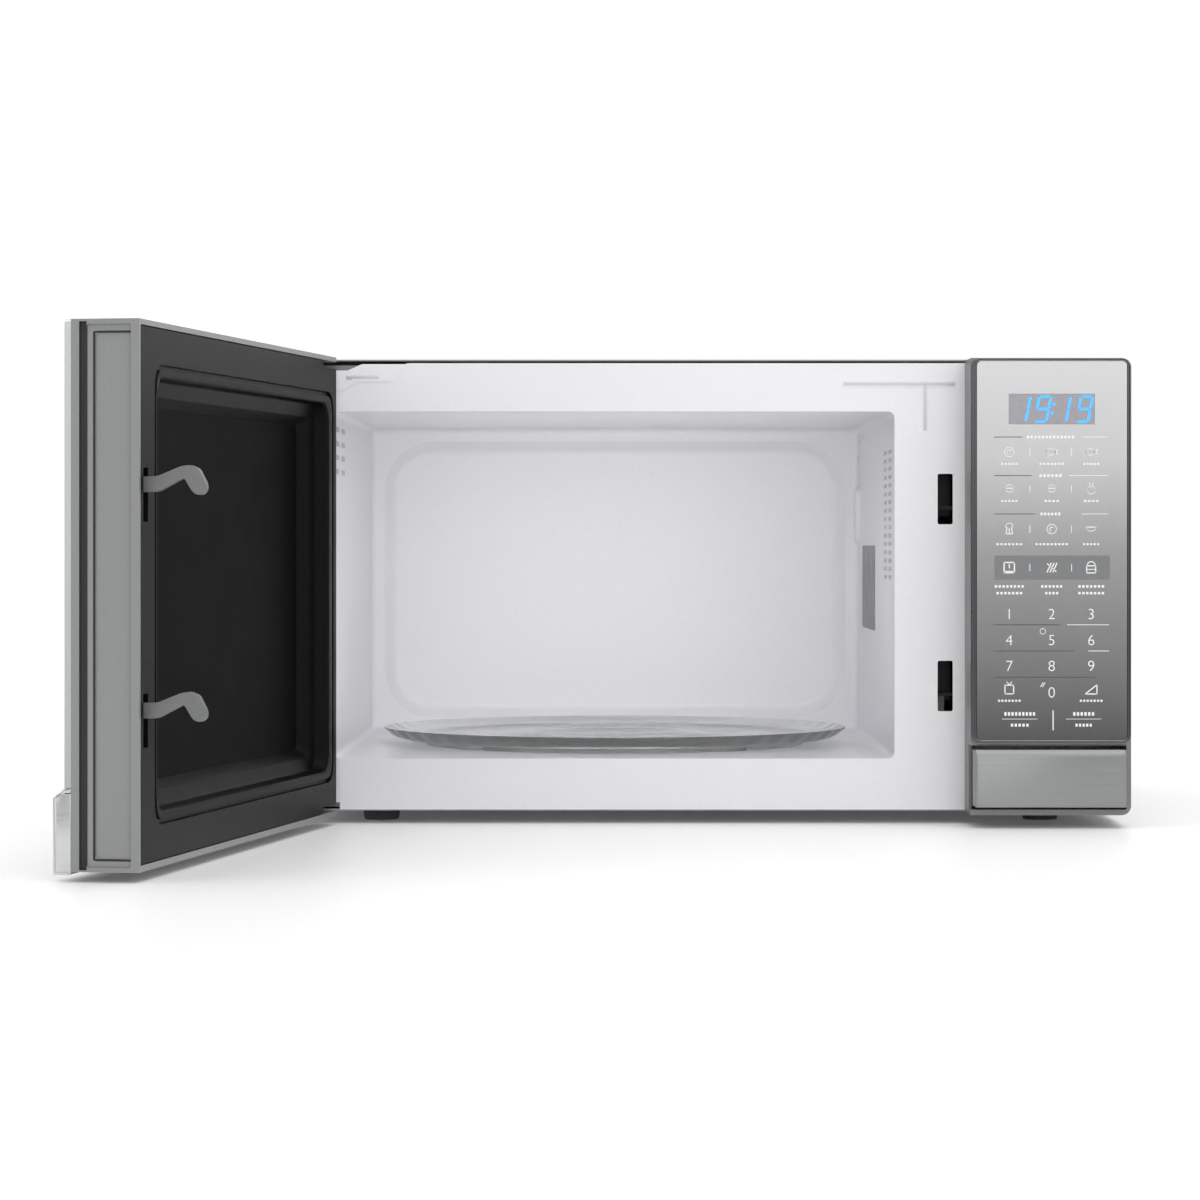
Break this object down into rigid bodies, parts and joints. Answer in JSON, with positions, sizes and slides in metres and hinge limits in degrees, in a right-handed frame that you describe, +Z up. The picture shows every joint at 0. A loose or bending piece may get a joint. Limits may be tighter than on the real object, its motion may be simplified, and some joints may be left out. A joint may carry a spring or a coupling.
{
  "type": "microwave oven",
  "caption": "Countertop microwave oven with its side-hung door open: glass turntable on a roller ring, sprung latch hooks, keypad panel with push button, and power parts inside.",
  "frame": {"origin": "On the floor, in the middle of the space the oven takes with its door open as stored. The cabinet's own centre is 47.5 mm to +X and 209 mm to +Y of it.", "axes": "+X to the viewer's right, towards the control panel; +Y back into the oven, so the door opens towards -Y; +Z up."},
  "size_m": [0.6153, 0.8203, 0.2945],
  "materials": {
    "cabinet_paint": "satin",
    "galvanised": "satin",
    "foot_rubber": "matt",
    "oven_enamel": "gloss",
    "mica": "matt",
    "bracket_steel": "satin",
    "black_plastic": "matt",
    "copper": "satin",
    "ferrite": "matt",
    "fin_aluminium": "satin",
    "lamination_steel": "matt",
    "winding_copper": "gloss",
    "can_aluminium": "satin",
    "white_plastic": "matt",
    "lamp_glass": "gloss",
    "ceramic_body": "matt",
    "circuit_board": "satin",
    "switch_black": "matt",
    "panel_grey": "satin",
    "silver_trim": "satin",
    "mirror_fascia": "gloss",
    "display_lens": "gloss",
    "display_case": "matt",
    "spring_steel": "satin",
    "clear_glass": "gloss",
    "door_grey": "satin",
    "dark_mirror_glass": "gloss",
    "screen_steel": "satin",
    "window_film": "gloss",
    "cover_black": "satin",
    "hook_grey": "satin"
  },
  "bodies": {
    "oven": {"outer_cover": "cabinet_paint", "base_plate": "galvanised", "rear_panel": "galvanised", "feet": "foot_rubber", "front_frame": "oven_enamel", "oven_liner": "oven_enamel", "waveguide_cover": "mica", "waveguide": "galvanised", "hinge_upper": "bracket_steel", "hinge_lower": "bracket_steel", "cord_gland": "black_plastic", "cabinet_screws": "bracket_steel", "magnetron_yoke": "galvanised", "magnetron_anode": "copper", "magnetron_magnets": "ferrite", "magnetron_fins": "fin_aluminium", "magnetron_filter_box": "galvanised", "transformer_core": "lamination_steel", "transformer_windings": "winding_copper", "capacitor": "can_aluminium", "diode": "black_plastic", "fan_shroud": "white_plastic", "fan_motor": "lamination_steel", "air_duct": "white_plastic", "lamp_holder": "galvanised", "lamp_bulb": "lamp_glass", "cavity_thermostat": "ceramic_body", "magnetron_thermostat": "ceramic_body", "filter_board": "circuit_board", "interlock_bracket": "white_plastic", "switch_lower": "switch_black", "switch_middle": "switch_black", "switch_upper": "switch_black", "control_housing": "panel_grey", "control_bezel": "silver_trim", "control_fascia": "mirror_fascia", "display_window": "display_lens", "display_module": "display_case", "control_board": "circuit_board", "turntable_motor": "galvanised"},
    "door": {"door_frame": "door_grey", "door_glass": "dark_mirror_glass", "door_band": "silver_trim", "door_inner_panel": "screen_steel", "door_screws": "bracket_steel", "door_window_sheet": "window_film", "choke_cover": "cover_black"},
    "hooks": {"latch_hooks": "hook_grey", "hook_spring": "spring_steel"},
    "button": {"open_button": "silver_trim", "button_spring": "spring_steel"},
    "lever": {"release_lever": "white_plastic"},
    "turntable": {"drive_coupler": "white_plastic", "glass_plate": "clear_glass"},
    "ring": {"roller_ring": "white_plastic"},
    "roller_a": {"roller_1": "white_plastic"},
    "roller_b": {"roller_2": "white_plastic"},
    "roller_c": {"roller_3": "white_plastic"},
    "impeller": {"fan_impeller": "white_plastic"}
  },
  "joints": [
    {"name": "door_hinge", "type": "hinge", "parent": "oven", "child": "door", "pos_m": [-0.2045, -0.0035, 0.148], "axis": [0, 0, -1], "range_deg": [-100, 8]},
    {"name": "hook_lift", "type": "slide", "parent": "door", "child": "hooks", "axis": [0, 0, 1], "range_m": [0, 0.003], "stiffness_N_per_m": 300, "springref_m": -0.002, "deforming": ["hook_spring"]},
    {"name": "open_button", "type": "slide", "parent": "oven", "child": "button", "axis": [0, 1, 0], "range_m": [0, 0.004], "stiffness_N_per_m": 400, "springref_m": -0.002, "deforming": ["button_spring"]},
    {"name": "release_lever", "type": "hinge", "parent": "oven", "child": "lever", "pos_m": [0.2075, 0.021, 0.058], "axis": [1, 0, 0], "range_deg": [0, 6.6]},
    {"name": "turntable_spin", "type": "hinge", "parent": "oven", "child": "turntable", "pos_m": [-0.0145, 0.197, 0.044], "axis": [0, 0, 1], "continuous": true},
    {"name": "roller_ring_spin", "type": "hinge", "parent": "oven", "child": "ring", "pos_m": [-0.0145, 0.197, 0.038], "axis": [0, 0, 1], "continuous": true},
    {"name": "fan_spin", "type": "hinge", "parent": "oven", "child": "impeller", "pos_m": [0.2435, 0.388, 0.184], "axis": [0, 1, 0], "continuous": true},
    {"name": "roller_1_spin", "type": "hinge", "parent": "ring", "child": "roller_a", "pos_m": [0.06864, 0.245, 0.038], "axis": [0.866, 0.5, 0], "continuous": true},
    {"name": "roller_2_spin", "type": "hinge", "parent": "ring", "child": "roller_b", "pos_m": [-0.09764, 0.245, 0.038], "axis": [-0.866, 0.5, 0], "continuous": true},
    {"name": "roller_3_spin", "type": "hinge", "parent": "ring", "child": "roller_c", "pos_m": [-0.0145, 0.101, 0.038], "axis": [0, -1, 0], "continuous": true}
  ],
  "couplings": [
    {"joint": "release_lever", "follows": "open_button", "rad_per_m": 28},
    {"joint": "roller_ring_spin", "follows": "turntable_spin", "ratio": 0.5},
    {"joint": "roller_1_spin", "follows": "turntable_spin", "ratio": -8.1356},
    {"joint": "roller_2_spin", "follows": "turntable_spin", "ratio": -8.1356},
    {"joint": "roller_3_spin", "follows": "turntable_spin", "ratio": -8.1356}
  ]
}
